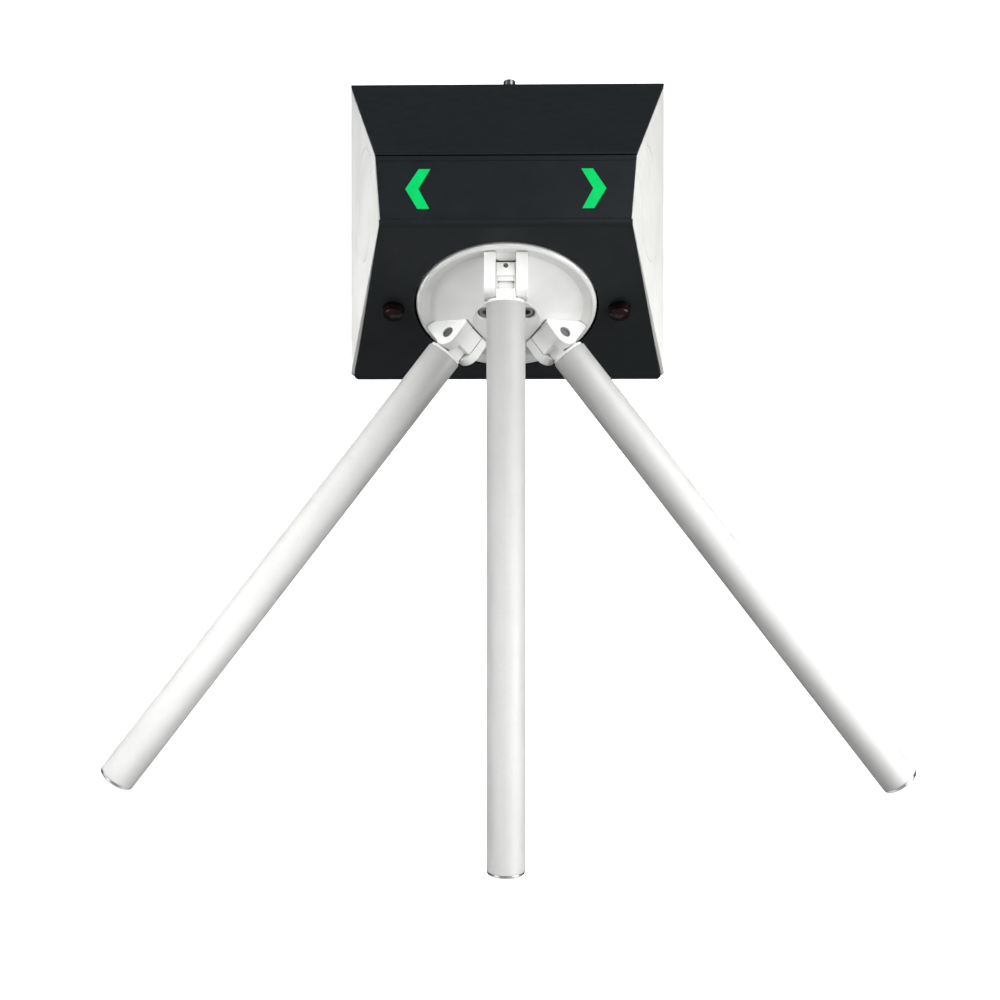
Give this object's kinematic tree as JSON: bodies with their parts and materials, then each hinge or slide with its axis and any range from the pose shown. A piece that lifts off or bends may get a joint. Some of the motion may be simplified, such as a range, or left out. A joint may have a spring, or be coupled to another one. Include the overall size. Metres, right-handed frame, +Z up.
{
  "type": "tripod turnstile head",
  "caption": "Wall or post mounted tripod turnstile head: wedge housing with arrow indicators, sloping rotor with folding tube arms, and a geared, locked and counted drive inside.",
  "frame": {"origin": "centre of the back mounting face", "axes": "X across the head, +Y into the wall or post behind it, +Z up"},
  "size_m": [0.6984, 0.1882, 0.7102],
  "materials": {
    "black_steel": "satin powder coat",
    "white_cover": "satin moulded",
    "indicator_black": "gloss",
    "arrow_green": "lit translucent",
    "circuit_board": "solder mask",
    "sensor_red": "translucent dark red",
    "sensor_black": "gloss black moulding",
    "dark_plastic": "moulded",
    "chrome_lock": "polished",
    "zinc_steel": "zinc plated",
    "rubber_black": "moulded",
    "cast_housing": "cast and turned",
    "machined_steel": "turned and ground",
    "solenoid_yellow": "coil tape and frame",
    "terminal_green": "moulded",
    "brass_spacer": "turned",
    "rotor_white": "satin powder coat",
    "fastener_steel": "blackened and worn",
    "arm_silver": "satin, fine texture",
    "cap_steel": "polished"
  },
  "bodies": {
    "housing": {"back_tray": "black_steel", "side_cover_left": "white_cover", "side_cover_right": "white_cover", "upper_cover": "black_steel", "lower_cover": "black_steel", "indicator_panel": "indicator_black", "arrow_lenses": "arrow_green", "indicator_board": "circuit_board", "sensor_bezels": "sensor_black", "sensor_lenses": "sensor_red", "sensor_modules": "dark_plastic", "lock_barrel": "chrome_lock", "cable_grommet": "rubber_black", "cover_screws": "zinc_steel", "gusset_plates": "zinc_steel", "mechanism_plate": "zinc_steel", "spacer_posts": "zinc_steel", "bridge_plate": "zinc_steel", "bearing_housing": "cast_housing", "shaft_bearings": "machined_steel", "housing_screws": "zinc_steel", "gear_motor": "dark_plastic", "rotary_damper": "cast_housing", "lock_solenoids": "solenoid_yellow", "pawl_pins": "machined_steel", "encoder_sensor": "dark_plastic", "control_board": "circuit_board", "terminal_block": "terminal_green", "board_spacers": "brass_spacer"},
    "rotor": {"hub_disc": "rotor_white", "hub_screws": "fastener_steel", "main_shaft": "machined_steel", "clevis_centre": "rotor_white", "clevis_left": "rotor_white", "clevis_right": "rotor_white", "clevis_screws": "fastener_steel", "hinge_pins": "fastener_steel", "main_gear": "machined_steel", "lock_disc": "machined_steel", "encoder_disc": "dark_plastic"},
    "key_lock": {"lock_plug": "chrome_lock", "lock_cam": "zinc_steel"},
    "motor_pinion": {"motor_pinion": "machined_steel"},
    "damper_pinion": {"damper_pinion": "machined_steel"},
    "pawl_left": {"lock_pawl_left": "machined_steel"},
    "pawl_right": {"lock_pawl_right": "machined_steel"},
    "plunger_left": {"solenoid_plunger_left": "machined_steel"},
    "plunger_right": {"solenoid_plunger_right": "machined_steel"},
    "arm_centre": {"arm_knuckle_centre": "rotor_white", "arm_set_screw_centre": "fastener_steel", "arm_tube_centre": "arm_silver", "arm_cap_centre": "cap_steel"},
    "arm_left": {"arm_knuckle_left": "rotor_white", "arm_set_screw_left": "fastener_steel", "arm_tube_left": "arm_silver", "arm_cap_left": "cap_steel"},
    "arm_right": {"arm_knuckle_right": "rotor_white", "arm_set_screw_right": "fastener_steel", "arm_tube_right": "arm_silver", "arm_cap_right": "cap_steel"}
  },
  "joints": [
    {"name": "hub_spin", "type": "hinge", "parent": "housing", "child": "rotor", "pos_m": [0, -0.10464, -0.09176], "axis": [0, -0.5111, -0.8595], "continuous": true},
    {"name": "arm_centre_fold", "type": "hinge", "parent": "rotor", "child": "arm_centre", "pos_m": [0, -0.15521, -0.08123], "axis": [-1, 0, 0], "range_deg": [0, 74.99]},
    {"name": "arm_left_fold", "type": "hinge", "parent": "rotor", "child": "arm_left", "pos_m": [-0.04231, -0.09223, -0.11869], "axis": [0.5, 0.7444, -0.4426], "range_deg": [-44, 0]},
    {"name": "arm_right_fold", "type": "hinge", "parent": "rotor", "child": "arm_right", "pos_m": [0.04231, -0.09223, -0.11869], "axis": [0.5, -0.7444, 0.4426], "range_deg": [-44, 0]},
    {"name": "key_turn", "type": "hinge", "parent": "housing", "child": "key_lock", "pos_m": [0.002, -0.01, 0.13], "axis": [0, 0, 1], "range_deg": [0, 90]},
    {"name": "motor_spin", "type": "hinge", "parent": "housing", "child": "motor_pinion", "pos_m": [0.024, -0.08516, 0.02231], "axis": [0, -0.5111, -0.8595], "continuous": true},
    {"name": "damper_spin", "type": "hinge", "parent": "housing", "child": "damper_pinion", "pos_m": [-0.051, -0.04943, 0.00106], "axis": [0, -0.5111, -0.8595], "continuous": true},
    {"name": "pawl_right_swing", "type": "hinge", "parent": "housing", "child": "pawl_right", "pos_m": [0.06, -0.08084, 0.00694], "axis": [0, -0.5111, -0.8595], "range_deg": [-11, 0]},
    {"name": "pawl_left_swing", "type": "hinge", "parent": "housing", "child": "pawl_left", "pos_m": [-0.06, -0.08084, 0.00694], "axis": [0, -0.5111, -0.8595], "range_deg": [0, 11]},
    {"name": "plunger_right_slide", "type": "slide", "parent": "housing", "child": "plunger_right", "axis": [1, 0, 0], "range_m": [0, 0.0042], "stiffness_N_per_m": 60, "springref_m": -0.005},
    {"name": "plunger_left_slide", "type": "slide", "parent": "housing", "child": "plunger_left", "axis": [-1, 0, 0], "range_m": [0, 0.0042], "stiffness_N_per_m": 60, "springref_m": -0.005}
  ],
  "couplings": [
    {"joint": "motor_spin", "follows": "hub_spin", "ratio": -3},
    {"joint": "damper_spin", "follows": "hub_spin", "ratio": -2.4},
    {"joint": "pawl_right_swing", "follows": "plunger_right_slide", "rad_per_m": -45.455},
    {"joint": "pawl_left_swing", "follows": "plunger_left_slide", "rad_per_m": 45.455}
  ]
}
